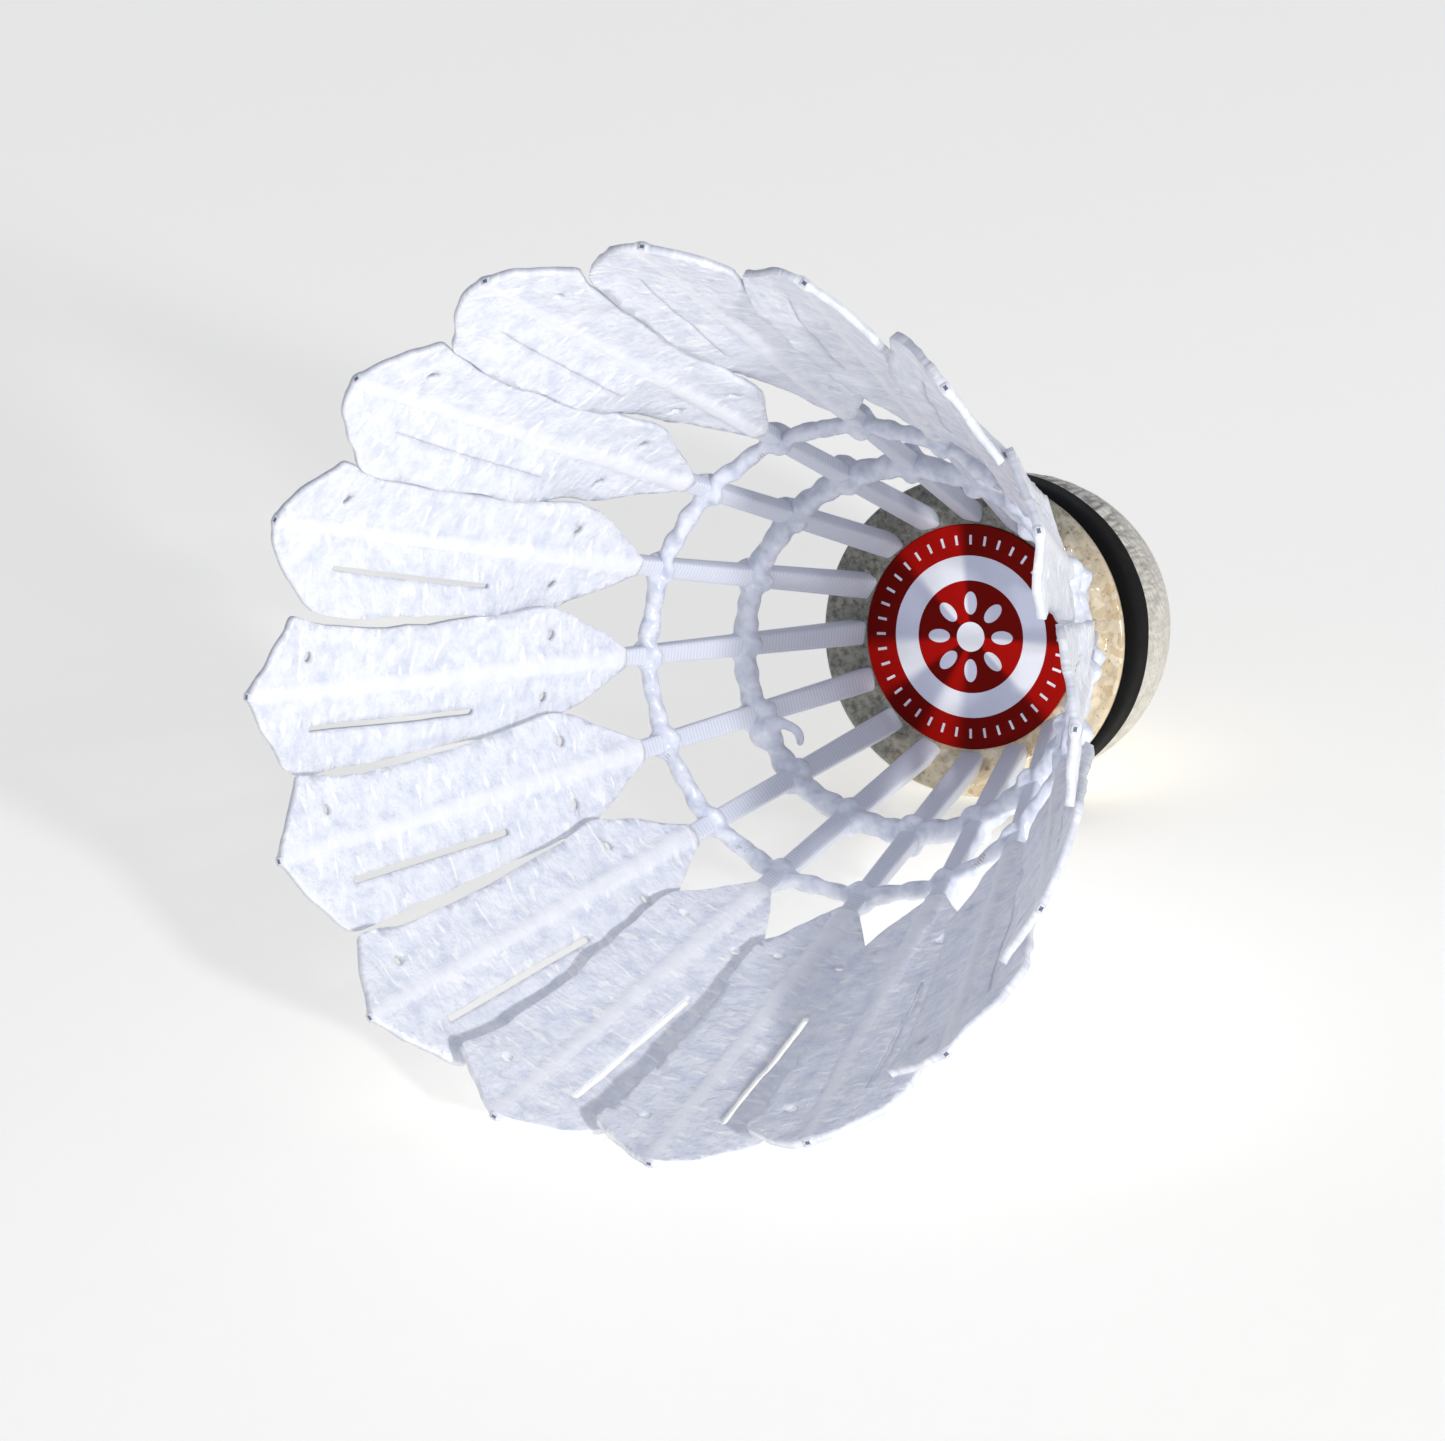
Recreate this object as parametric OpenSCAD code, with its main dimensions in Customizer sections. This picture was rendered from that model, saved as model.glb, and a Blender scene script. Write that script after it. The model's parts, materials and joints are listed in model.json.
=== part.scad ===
// Badminton shuttlecock with sixteen moulded feathers, lying on its side.
// It is designed nose down about +Z, with the cork's flat top face at z = 0 and the skirt
// opening upwards. lie_down() then lays it on the table, nose towards +Y.

/* [Skirt] */
// Radius of the circle that the feather tips stand on
tip_r = 32.7; // [31:0.1:34]
// Radius at which the shafts leave the cork
root_r = 10.15; // [9.9:0.05:10.4]
// Height of the feather tips over the cork's top face
skirt_h = 60; // [57:0.5:64]
// Turn of each feather about its own shaft, which tucks one edge under its neighbour
feather_turn = 10; // [6:1:14]

/* [Shafts] */
// Width of a shaft where it leaves the cork
shaft_root_w = 2.0; // [1.8:0.1:2.2]
// Thickness of a shaft where it leaves the cork
shaft_root_t = 1.5; // [1.2:0.1:1.7]
// Width of a shaft at the feather's tip
shaft_tip_w = 0.7; // [0.6:0.1:1.0]
// Thickness of a shaft at the feather's tip
shaft_tip_t = 0.6; // [0.5:0.1:0.8]
// Length of shaft glued into the cork
socket_depth = 9; // [7:0.5:9.5]

/* [Vanes] */
// Length of a vane from its tip to its lower point
vane_len = 37.6; // [36:0.1:38.5]
// Thickness of the foam sheet
vane_t = 0.6; // [0.5:0.1:0.8]
// Foam skin that covers the shaft along the vane
rib_skin = 0.2; // [0.15:0.05:0.3]
// Width of the long air slot
slot_w = 0.55; // [0.4:0.05:0.8]
// Diameter of the three small air holes
air_hole_d = 0.9; // [0.6:0.1:1.2]

/* [Thread rings] */
// Distance of the outer thread ring up the shafts
outer_ring_at = 23.85; // [22:0.1:25]
// Distance of the inner thread ring up the shafts
inner_ring_at = 13.3; // [12:0.1:15]
// Diameter of the twisted thread between two shafts
thread_d = 1.0; // [0.8:0.1:1.1]
// Diameter of the resin coat over the thread
coat_d = 1.7; // [1.5:0.1:2.0]
// Thickness of the thread wound round each shaft
wrap_t = 0.3; // [0.2:0.05:0.4]
// Height of the thread wound round each shaft
wrap_h = 1.5; // [1.2:0.1:1.8]
// Height of the resin over that thread
coat_h = 1.9; // [1.6:0.1:2.2]

/* [Cork base] */
// Outer radius of the leather-covered base
base_r = 12.9; // [12.6:0.1:13.3]
// Straight part of the base's side
base_side = 8.5; // [8:0.5:10]
// Height of the domed nose under the straight side
dome_h = 14.5; // [13:0.5:16]
// Thickness of the leather cover
leather_t = 0.45; // [0.3:0.05:0.6]
// Width of the black band round the base
band_w = 5.8; // [5:0.1:6.5]
// Thickness of the black band
band_t = 0.25; // [0.2:0.05:0.4]
// Height of the upper cork layer, which holds the shafts
cork_layer_h = 10; // [9.5:0.5:11]

/* [Label] */
// Radius of the foil label on the cork's top face
label_r = 9.2; // [8.8:0.05:9.3]
// Thickness of the foil label
label_t = 0.2; // [0.15:0.05:0.3]
// Thickness of the glue film that seals the cork's top face
glue_t = 0.2; // [0.15:0.05:0.3]

/* [Lying on the table] */
// Lean of the axis, nose down, when two feather corners and the base touch the table
lie_lean = 16.45; // [14:0.01:18]
// Roll about the axis that brings two feather corners to the table
lie_roll = 179.93; // [170:0.01:190]

/* [Hidden] */
feather_count = 16;

flare = atan2(tip_r - root_r, skirt_h);
shaft_len = norm([tip_r - root_r, skirt_h]);
feather_step = 360 / feather_count;
// Hand-glued feathers that lean sideways, as [feather number, degrees]
leaning = [[1, 0.4], [3, 0.6], [10, 0.9], [16, 0.9]];
// Edge of the vane that tucks inside its neighbour: [distance from the tip, half width]
inner_edge = [[3.5, 5.7], [4.6, 5.5], [7, 4.9], [11, 4.5], [17, 4.3], [24, 4.45], [28.5, 4.7],
              [30.3, 4.5], [32, 3.8]];
// Edge that lies outside its neighbour
outer_edge = [[3.75, 5.5], [4.5, 6.2], [5.6, 6.6], [10, 6.3], [17, 5.6], [24, 5.1], [28.5, 4.8],
              [30.3, 4.55], [32, 3.8]];
vane_foot_w = 0.9;
// Air holes as [distance from the tip, place across the vane]
air_holes = [[5.3, -2.7], [29.6, -2.5], [29.6, 2.5]];
slot_at = 3.0;
slot_from = 6.1;
slot_to = 22.4;
coat_t = (coat_d - thread_d) / 2;
fillet_h = 0.8;
fillet_r = 1.9;
overshoot = 1;
lie_back = 22.15;
lie_up = 15.42;
arc_steps = 12;

function leaning_of(i) =
    let (found = [for (l = leaning) if (l[0] == i) l[1]]) len(found) > 0 ? found[0] : 0;
function mix(a, b, t) = a + (b - a) * t;
function shaft_w(at) = mix(shaft_root_w, shaft_tip_w, max(0, at) / shaft_len);
function shaft_t(at) = mix(shaft_root_t, shaft_tip_t, max(0, at) / shaft_len);
function ring_r(at) = root_r + at * sin(flare);
function ring_side(at) = 2 * ring_r(at) * sin(feather_step / 2);

// Lays the upright shuttlecock on its side with the middle of its box over the origin
module lie_down() {
    translate([0, lie_back, lie_up]) rotate([90 - lie_lean, 0, 0]) rotate([0, 0, lie_roll]) children();
}

// Frame of feather i: z runs up the shaft, y along the skirt's rim and x outwards
module at_feather(i) {
    rotate([0, 0, (i - 1) * feather_step]) translate([root_r, 0, 0]) rotate([0, flare, 0])
        rotate([-leaning_of(i), 0, -feather_turn]) children();
}

// Tapered bar round the shaft's middle line, grown by a margin, between two heights
module tapered_bar(from, to, margin) {
    intersection() {
        rotate([90, 0, 0]) linear_extrude(8, center = true) bar_outline(from, to, margin, false);
        rotate([90, 0, 90]) linear_extrude(8, center = true) bar_outline(from, to, margin, true);
    }
}

module bar_outline(from, to, margin, across) {
    foot = (across ? shaft_w(from) : shaft_t(from)) / 2 + margin;
    root = (across ? shaft_w(0) : shaft_t(0)) / 2 + margin;
    top = (across ? shaft_w(to) : shaft_t(to)) / 2 + margin;
    if (from < 0)
        polygon([[-foot, from], [foot, from], [root, 0], [top, to], [-top, to], [-root, 0]]);
    else
        polygon([[-foot, from], [foot, from], [top, to], [-top, to]]);
}

module shaft_body() { tapered_bar(-socket_depth, shaft_len, 0); }

module all_shafts() {
    for (i = [1:feather_count]) at_feather(i) shaft_body();
}

module shaft(i) { color("#f1f2f6") lie_down() at_feather(i) shaft_body(); }

// Outline of the foam sheet, tip at the origin and the shaft down the -Y axis
module vane_outline() {
    polygon(concat(
        [[0, 0]],
        [for (p = outer_edge) [p[1], -p[0]]],
        [[vane_foot_w, -vane_len], [-vane_foot_w, -vane_len]],
        [for (k = [len(inner_edge) - 1:-1:0]) [-inner_edge[k][1], -inner_edge[k][0]]]
    ));
}

module air_openings() {
    for (h = air_holes) translate([h[1], -h[0]]) circle(d = air_hole_d, $fn = 32);
    translate([slot_at - slot_w / 2, -slot_to + slot_w / 2]) square([slot_w, slot_to - slot_from - slot_w]);
    for (end = [slot_from + slot_w / 2, slot_to - slot_w / 2])
        translate([slot_at, -end]) circle(d = slot_w, $fn = 32);
}

module vane(i) {
    color("#e8eaf6") lie_down() at_feather(i) difference() {
        union() {
            translate([0, 0, shaft_len]) rotate([90, 0, 90]) linear_extrude(vane_t, center = true)
                difference() { vane_outline(); air_openings(); }
            tapered_bar(shaft_len - vane_len, shaft_len - rib_skin, rib_skin);
        }
        shaft_body();
    }
}

// Places its children at the middle of each straight stretch of a ring, z along the stretch
module along_ring(at) {
    for (i = [1:feather_count])
        rotate([0, 0, (i - 0.5) * feather_step])
            translate([ring_r(at) * cos(feather_step / 2), 0, at * cos(flare)]) rotate([90, 0, 0]) children();
}

// Straight cords that join the middle lines of neighbouring shafts
module ring_cords(at, d) {
    along_ring(at) cylinder(d = d, h = ring_side(at), center = true, $fn = 24);
}

// Square sleeve round each shaft
module ring_wraps(at, margin, height) {
    for (i = [1:feather_count]) at_feather(i) translate([0, 0, at])
        cube([shaft_t(at) + 2 * margin, shaft_w(at) + 2 * margin, height], center = true);
}

module thread_body(at) {
    difference() {
        union() {
            ring_cords(at, thread_d);
            ring_wraps(at, wrap_t, wrap_h);
        }
        all_shafts();
    }
}

module resin_body(at) {
    difference() {
        union() {
            ring_cords(at, coat_d);
            ring_wraps(at, wrap_t + coat_t, coat_h);
        }
        ring_cords(at, thread_d);
        ring_wraps(at, wrap_t, coat_h + overshoot);
    }
}

module thread_outer() { color("#ffffff") lie_down() thread_body(outer_ring_at); }
module thread_inner() { color("#ffffff") lie_down() thread_body(inner_ring_at); }
module resin_outer() { color("#dfe2ee") lie_down() resin_body(outer_ring_at); }
module resin_inner() { color("#dfe2ee") lie_down() resin_body(inner_ring_at); }

// Side view of the base from its axis outwards, set in from the leather's outside
module base_profile(inset) {
    r = base_r - inset;
    h = dome_h - inset;
    polygon(concat(
        [[0, 0], [r, 0], [r, -base_side]],
        [for (k = [1:arc_steps - 1]) [r * cos(90 * k / arc_steps), -base_side - h * sin(90 * k / arc_steps)]],
        [[0, -base_side - h]]
    ));
}

module cork_body() { rotate_extrude($fn = 96) base_profile(leather_t); }

module cork_upper() {
    color("#e4d2b0") lie_down() difference() {
        intersection() {
            cork_body();
            translate([0, 0, -cork_layer_h]) cylinder(r = base_r + overshoot, h = cork_layer_h, $fn = 96);
        }
        all_shafts();
    }
}

module cork_nose() {
    color("#cdb78f") lie_down() difference() {
        cork_body();
        translate([0, 0, -cork_layer_h])
            cylinder(r = base_r + overshoot, h = cork_layer_h + overshoot, $fn = 96);
    }
}

module leather_cover() {
    color("#ded9cc") lie_down() rotate_extrude($fn = 96) difference() {
        base_profile(0);
        base_profile(leather_t);
    }
}

module band() {
    color("#11110c") lie_down() translate([0, 0, -band_w]) difference() {
        cylinder(r = base_r + band_t, h = band_w, $fn = 96);
        translate([0, 0, -overshoot]) cylinder(r = base_r, h = band_w + 2 * overshoot, $fn = 96);
    }
}

// Clear glue over the cork's top face, with a fillet round the root of every shaft
module glue_film() {
    color("#d8d2bd") lie_down() difference() {
        union() {
            cylinder(r = base_r - leather_t, h = glue_t, $fn = 96);
            for (i = [1:feather_count]) rotate([0, 0, (i - 1) * feather_step]) translate([root_r, 0, 0])
                cylinder(r1 = fillet_r, r2 = fillet_r / 2, h = fillet_h, $fn = 32);
        }
        translate([0, 0, glue_t]) cylinder(r = label_r, h = fillet_h, $fn = 96);
        all_shafts();
    }
}

module label() {
    color("#9e1816") lie_down() translate([0, 0, glue_t]) difference() {
        cylinder(r = label_r, h = label_t, $fn = 96);
        translate([0, 0, -glue_t]) all_shafts();
    }
}

shaft(1);  // shaft_01
shaft(2);  // shaft_02
shaft(3);  // shaft_03
shaft(4);  // shaft_04
shaft(5);  // shaft_05
shaft(6);  // shaft_06
shaft(7);  // shaft_07
shaft(8);  // shaft_08
shaft(9);  // shaft_09
shaft(10);  // shaft_10
shaft(11);  // shaft_11
shaft(12);  // shaft_12
shaft(13);  // shaft_13
shaft(14);  // shaft_14
shaft(15);  // shaft_15
shaft(16);  // shaft_16
vane(1);  // vane_01
vane(2);  // vane_02
vane(3);  // vane_03
vane(4);  // vane_04
vane(5);  // vane_05
vane(6);  // vane_06
vane(7);  // vane_07
vane(8);  // vane_08
vane(9);  // vane_09
vane(10);  // vane_10
vane(11);  // vane_11
vane(12);  // vane_12
vane(13);  // vane_13
vane(14);  // vane_14
vane(15);  // vane_15
vane(16);  // vane_16
thread_outer();
thread_inner();
resin_outer();
resin_inner();
cork_upper();
cork_nose();
leather_cover();
band();
glue_film();
label();
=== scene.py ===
import json
import math

import bmesh
import bpy
from bpy.props import FloatProperty, FloatVectorProperty, IntProperty, PointerProperty
from mathutils import Matrix, Vector, noise


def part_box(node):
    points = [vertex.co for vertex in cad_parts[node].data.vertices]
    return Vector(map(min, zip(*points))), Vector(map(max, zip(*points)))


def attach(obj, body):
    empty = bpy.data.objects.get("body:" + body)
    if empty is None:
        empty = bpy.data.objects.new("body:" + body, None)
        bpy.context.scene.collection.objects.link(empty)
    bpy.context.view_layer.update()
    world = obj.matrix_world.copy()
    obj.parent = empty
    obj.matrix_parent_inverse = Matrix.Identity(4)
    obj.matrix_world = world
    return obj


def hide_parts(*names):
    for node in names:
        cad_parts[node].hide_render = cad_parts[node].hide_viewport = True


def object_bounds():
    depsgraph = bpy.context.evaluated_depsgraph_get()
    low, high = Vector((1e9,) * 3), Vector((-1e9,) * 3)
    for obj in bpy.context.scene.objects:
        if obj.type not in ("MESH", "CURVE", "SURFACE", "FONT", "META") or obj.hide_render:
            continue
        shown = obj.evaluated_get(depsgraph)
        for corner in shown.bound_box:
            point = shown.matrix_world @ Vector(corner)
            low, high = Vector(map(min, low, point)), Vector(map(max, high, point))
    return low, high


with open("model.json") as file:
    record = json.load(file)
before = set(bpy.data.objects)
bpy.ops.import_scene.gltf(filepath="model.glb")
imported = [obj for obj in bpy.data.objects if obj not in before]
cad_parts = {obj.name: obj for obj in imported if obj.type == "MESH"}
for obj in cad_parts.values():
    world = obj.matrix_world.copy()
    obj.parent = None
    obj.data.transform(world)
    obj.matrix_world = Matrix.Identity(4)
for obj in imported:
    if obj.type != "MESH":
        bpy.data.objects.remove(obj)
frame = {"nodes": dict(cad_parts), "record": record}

bl_info = {
    "name": "Shuttlecock maker",
    "version": (1, 0, 0),
    "blender": (4, 5, 0),
    "location": "3D View > Sidebar > Shuttlecock",
    "description": "Makes a lying badminton shuttlecock: foam feathers, thread rings, cork base and label",
    "category": "Object",
}

MM = 0.001
BODY = "root"
CAD_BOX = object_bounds()
GRIP = next(m for m in frame["record"]["mounts"] if m["name"] == "base_grip")


# ---------------------------------------------------------------- sizes and colours


def length(name, description, default):
    """A size in metres, shown in the panel in the scene's length unit."""
    return FloatProperty(name=name, description=description, default=default, subtype="DISTANCE",
                         unit="LENGTH", precision=5)


def turn(name, description, degrees):
    """An angle, given here in degrees."""
    return FloatProperty(name=name, description=description, default=math.radians(degrees),
                         subtype="ANGLE", unit="ROTATION")


def linear(hex_colour):
    """Linear red, green, blue and alpha of an sRGB hex colour."""
    channels = [int(hex_colour[k:k + 2], 16) / 255 for k in (1, 3, 5)]
    return [c / 12.92 if c <= 0.04045 else ((c + 0.055) / 1.055) ** 2.4 for c in channels] + [1.0]


def colour(name, description, hex_colour):
    """A colour, given as an sRGB hex value and kept linear."""
    return FloatVectorProperty(name=name, description=description, default=linear(hex_colour),
                               subtype="COLOR", size=4, min=0.0, max=1.0)


class SkirtSizes(bpy.types.PropertyGroup):
    """Sizes of the feathers and of the cone that they stand on."""

    count: IntProperty(name="Feathers", description="Number of feathers", default=16, min=16, max=16)
    tip_r: length("Tip circle radius", "Radius of the circle through the feather tips", 32.7 * MM)
    root_r: length("Root circle radius", "Radius at which the shafts leave the cork", 10.15 * MM)
    height: length("Skirt height", "Height of the tips over the cork's top face", 60 * MM)
    turn: turn("Feather turn", "Turn of each feather about its own shaft", 10)
    roll: turn("Roll", "Roll about the axis as it lies on the table", 179.93)
    socket: length("Socket depth", "Length of shaft inside the cork", 9 * MM)
    root_w: length("Shaft width", "Width of a shaft at the cork", 2.0 * MM)
    root_t: length("Shaft thickness", "Thickness of a shaft at the cork", 1.5 * MM)
    tip_w: length("Shaft tip width", "Width of a shaft at the feather's tip", 0.7 * MM)
    tip_t: length("Shaft tip thickness", "Thickness of a shaft at the feather's tip", 0.6 * MM)
    vane_len: length("Vane length", "Length of the foam sheet along the shaft", 37.6 * MM)
    vane_t: length("Vane thickness", "Thickness of the foam sheet", 0.6 * MM)


class RingSizes(bpy.types.PropertyGroup):
    """Sizes of the two thread rings and their resin."""

    outer_at: length("Outer ring", "Distance of the outer ring up the shafts", 23.85 * MM)
    inner_at: length("Inner ring", "Distance of the inner ring up the shafts", 13.3 * MM)
    thread_d: length("Thread", "Diameter of one strand of thread", 0.72 * MM)
    spread: length("Spread", "Distance of a strand from the middle of its ring", 0.27 * MM)
    coat_t: length("Resin", "Thickness of the resin over the thread", 0.16 * MM)


class BaseSizes(bpy.types.PropertyGroup):
    """Sizes of the cork base, its cover, band, glue and label."""

    radius: length("Base radius", "Outer radius of the leather cover", 12.9 * MM)
    side: length("Base side", "Straight part of the side under the top face", 8.5 * MM)
    dome: length("Dome", "Height of the domed nose", 14.5 * MM)
    leather_t: length("Leather", "Thickness of the cover", 0.45 * MM)
    band_w: length("Band width", "Width of the black band", 5.8 * MM)
    band_t: length("Band thickness", "Thickness of the black band", 0.25 * MM)
    glue_t: length("Glue film", "Thickness of the glue over the cork", 0.2 * MM)
    label_r: length("Label radius", "Radius of the foil label", 9.2 * MM)
    label_t: length("Label thickness", "Thickness of the foil label", 0.2 * MM)


class Finishes(bpy.types.PropertyGroup):
    """Colours of the shuttlecock's materials and of the stage."""

    foam: colour("Foam", "White foam of the vanes", "#F1F3FB")
    nylon: colour("Nylon", "White shafts", "#E6E9F3")
    carbon: colour("Carbon", "Dark core seen at the cut tip of a shaft", "#656B7C")
    resin: colour("Resin", "Hardened glue over the thread", "#E9ECF6")
    thread: colour("Thread", "Cotton thread", "#ECECF0")
    cork_light: colour("Cork, light", "Light cork grains", "#EBDCBF")
    cork_dark: colour("Cork, dark", "Bark specks in the cork", "#7A6044")
    # Painted shade: a darker, greyer copy of the cork, painted on the shaded part of the sealed cork's face
    cork_in_painted_shade: colour("Cork, soaked", "Cork that the glue has soaked", "#83847B")
    leather: colour("Leather", "Cover of the base", "#E4DFD3")
    band: colour("Band", "Tape round the base", "#060606")
    # The foil colours are lit and shaded copies: the label's bright and dark fans are painted reflection
    red_foil: colour("Red foil", "Label's red foil where it shines", "#B81712")
    red_shade: colour("Red foil, dark", "Label's red foil between its bright fans", "#66100D")
    silver_foil: colour("Silver foil", "Label's silver foil where it shines", "#FBFBFF")
    silver_shade: colour("Silver foil, dark", "Label's silver foil between its bright fans", "#C3C6D9")
    floor: colour("Floor", "Plain pale floor", "#FFFDF6")


# Feathers that were glued in leaning sideways: number and lean in degrees
LEANING = {1: 0.4, 3: 0.6, 10: 0.9, 16: 0.9}
# Feathers whose shaft is bent sideways at its tip: number and shift along the rim in millimetres
SWAY = {16: -1.25}
# How use has curled the foam, by feather: turn in degrees of the outer half at its middle and at its
# tip, the same for the inner half, how far the outer and the inner tip edge is rounded out, and how
# far from the tip the curl starts, in millimetres. Every vane is set at a turn of 10 degrees.
CURL = {3: (10, 10, 10, 10, 0.15, 0.1, 27), 4: (10, 10, 10, 10, 0.2, 0.2, 27),
        5: (10, 10, 10, 10, 0.35, 0.3, 27), 6: (10, 10, 10, 10, 0.6, 0.9, 27),
        7: (8, 8, 10, 10, 0.6, 0.3, 27), 8: (4, 4, 8, 8, 0.3, 0.3, 30), 9: (-8, -8, 4, 4, 0.3, 0.3, 30),
        10: (1, 1, 20, 20, 0.3, 0.3, 30), 11: (-15, 3, -8, 1, 1.0, 0.3, 36),
        12: (-12, -2, 6, 8, 1.3, 0.2, 42), 13: (-8, 0, 2, 5, 1.2, 0.6, 32),
        14: (-17, -6, 1, 4, 1.3, 0.8, 30), 15: (-20, -14, 10, 10, 1.3, 0.6, 30),
        16: (-20, -12, 10, 10, 0.9, 0.6, 30)}
UNCURLED = (10, 10, 10, 10, 0.1, 0.1, 27)
# Share of its width that a vane's slot keeps where the curled foam presses it shut, by feather
SLOT_OPEN = {6: 0.6, 7: 0.3, 8: 0.3, 9: 0.2, 10: 0.2, 11: 0.2, 12: 0.1, 13: 0.1, 14: 0.1, 15: 0.1, 16: 0.7}

# A vane's outline as distance from the tip and half width, in millimetres, down to its narrow foot
INNER_EDGE = ((3.5, 5.7), (4.6, 5.5), (7, 4.9), (11, 4.5), (17, 4.3), (24, 4.45), (28.5, 4.7),
              (30.3, 4.5), (32, 3.8))
OUTER_EDGE = ((3.75, 5.5), (4.5, 6.2), (5.6, 6.6), (10, 6.3), (17, 5.6), (24, 5.1), (28.5, 4.8),
              (30.3, 4.55), (32, 3.8))
VANE_FOOT = 0.9
EDGE_WAVER = 0.26
# Air holes as distance from the tip and place across, and the slot as place across, start and end
# from the tip and width, all in millimetres
AIR_HOLES = ((5.3, -2.7), (29.6, -2.5), (29.6, 2.5))
AIR_HOLE_D = 0.9
SLOT = (3.0, 6.1, 22.4, 0.55)
# Lines that a vane's foam is gridded along, in millimetres: rows down it, and columns that lie
# closer together over the rib than beside it
GRID_ROWS = 62
GRID_ROW = 0.6
GRID_COLUMNS = (0, 0.25, 0.5, 0.75, 1.0, 1.25, 1.625, 2.125, 2.75, 3.625, 4.5, 5.5, 6.5)
# Edge of one quad of the resin's skin
SKIN_QUAD = 0.13 * MM
# Turn, as a share of the whole, at which the painted reflection on the label's foil is brightest
BRIGHTEST_PAINTED_FAN = 0.44


# ---------------------------------------------------------------- frames


def upright_to_table(skirt):
    """Matrix from the upright shuttlecock, cork face at z = 0 and skirt up, to where it lies."""
    nose = Vector(GRIP["axis"]).normalized()
    face = Vector(GRIP["pos_m"]) - nose * GRIP["dims"]["length_mm"] * MM / 2
    lean = math.asin(-nose.z)
    return (Matrix.Translation(face) @ Matrix.Rotation(math.pi / 2 - lean, 4, "X")
            @ Matrix.Rotation(skirt.roll, 4, "Z"))


def flare(skirt):
    """Angle between a shaft and the axis."""
    return math.atan2(skirt.tip_r - skirt.root_r, skirt.height)


def shaft_length(skirt):
    """Length of a shaft from the cork's face to the feather's tip."""
    return math.hypot(skirt.tip_r - skirt.root_r, skirt.height)


def feather_frame(skirt, number, upright=False):
    """Matrix of a feather: z runs up its shaft from the cork, y along the rim and x outwards."""
    lean = math.radians(LEANING.get(number, 0))
    around = Matrix.Rotation(math.tau * (number - 1) / skirt.count, 4, "Z")
    place = (around @ Matrix.Translation((skirt.root_r, 0, 0)) @ Matrix.Rotation(flare(skirt), 4, "Y")
             @ Matrix.Rotation(-skirt.turn, 4, "Z") @ Matrix.Rotation(-lean, 4, "X"))
    return place if upright else upright_to_table(skirt) @ place


def shaft_size(skirt, at):
    """Thickness and width of a shaft at a distance up from the cork."""
    t = max(0.0, at) / shaft_length(skirt)
    return (skirt.root_t + (skirt.tip_t - skirt.root_t) * t,
            skirt.root_w + (skirt.tip_w - skirt.root_w) * t)


def sway(number, at, full):
    """Sideways shift of a shaft's middle line at a distance up from the cork."""
    start = 0.3 * full
    return SWAY.get(number, 0) * MM * max(0.0, (at - start) / (full - start)) ** 1.3


def ease(share):
    """A smooth step from 0 to 1."""
    share = min(1.0, max(0.0, share))
    return share * share * (3 - 2 * share)


def wander(point, seed, amount):
    """A small smooth random shift, the same on every run."""
    return noise.noise(Vector(point) + Vector((seed * 7.31, seed * 3.17, seed * 1.73))) * amount


# ---------------------------------------------------------------- making a piece


def add_object(name, data):
    """Adds an object that holds a mesh, a curve, a lamp or a camera to the scene."""
    thing = bpy.data.objects.new(name, data)
    bpy.context.scene.collection.objects.link(thing)
    return thing


def finish_piece(bm, name, matrix, materials, nodes, smooth=True):
    """Turns a bmesh into a finished piece that lies in place and stands for its CAD nodes."""
    bm.transform(matrix)
    mesh = bpy.data.meshes.new(name)
    bm.to_mesh(mesh)
    bm.free()
    mesh.shade_smooth() if smooth else mesh.shade_flat()
    for material in materials:
        mesh.materials.append(material)
    piece = add_object(name, mesh)
    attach(piece, BODY)
    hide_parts(*nodes)


def evaluated_mesh(holder):
    """The mesh that a curve or a modifier makes; the object that held it is removed."""
    bpy.context.view_layer.update()
    mesh = bpy.data.meshes.new_from_object(holder.evaluated_get(bpy.context.evaluated_depsgraph_get()))
    bpy.data.objects.remove(holder)
    return mesh


def bmesh_from(mesh):
    """A bmesh in the shape of a mesh; the mesh is removed."""
    bm = bmesh.new()
    bm.from_mesh(mesh)
    bpy.data.meshes.remove(mesh)
    return bm


def uv_from(bm, rule):
    """Gives every corner the UV that rule(vertex position) returns."""
    layer = bm.loops.layers.uv.new("UVMap")
    for face in bm.faces:
        for loop in face.loops:
            loop[layer].uv = rule(loop.vert.co)


def cut_plane(bm, point, normal):
    """Cuts every face along a plane and keeps both sides."""
    bmesh.ops.bisect_plane(bm, geom=bm.verts[:] + bm.edges[:] + bm.faces[:], dist=1e-7,
                           plane_co=point, plane_no=normal)


def loop_edges(bm, points):
    """A closed loop of edges in the plane x = 0 through (across, along) points."""
    verts = [bm.verts.new((0, p[0], p[1])) for p in points]
    return [bm.edges.new((verts[k - 1], verts[k])) for k in range(len(verts))]


def smooth_line(points, steps):
    """Points along a rounded curve through the given ones."""
    padded = [points[0] * 2 - points[1]] + points + [points[-1] * 2 - points[-2]]
    line = []
    for k in range(1, len(padded) - 2):
        a, b, c, d = padded[k - 1:k + 3]
        for s in range(steps):
            t = s / steps
            line.append(0.5 * (2 * b + (c - a) * t + (2 * a - 5 * b + 4 * c - d) * t * t
                               + (3 * b - a - 3 * c + d) * t ** 3))
    return line + [points[-1]]


# ---------------------------------------------------------------- feathers


def curl_turn(skirt, number, along, outer):
    """Turn of one half of a vane about its shaft, past the turn it was set at.

    The half comes to its middle turn over the first 11 mm of the curl, and to its tip turn between
    11 and 4 mm short of the tip.
    """
    curl = CURL.get(number, UNCURLED)
    middle, tip = curl[:2] if outer else curl[2:4]
    turned = math.degrees(skirt.turn)
    turned += (middle - turned) * ease((curl[6] * MM - along) / (11 * MM))
    turned += (tip - middle) * ease((11 * MM - along) / (7 * MM))
    return math.radians(turned) - skirt.turn


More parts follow.
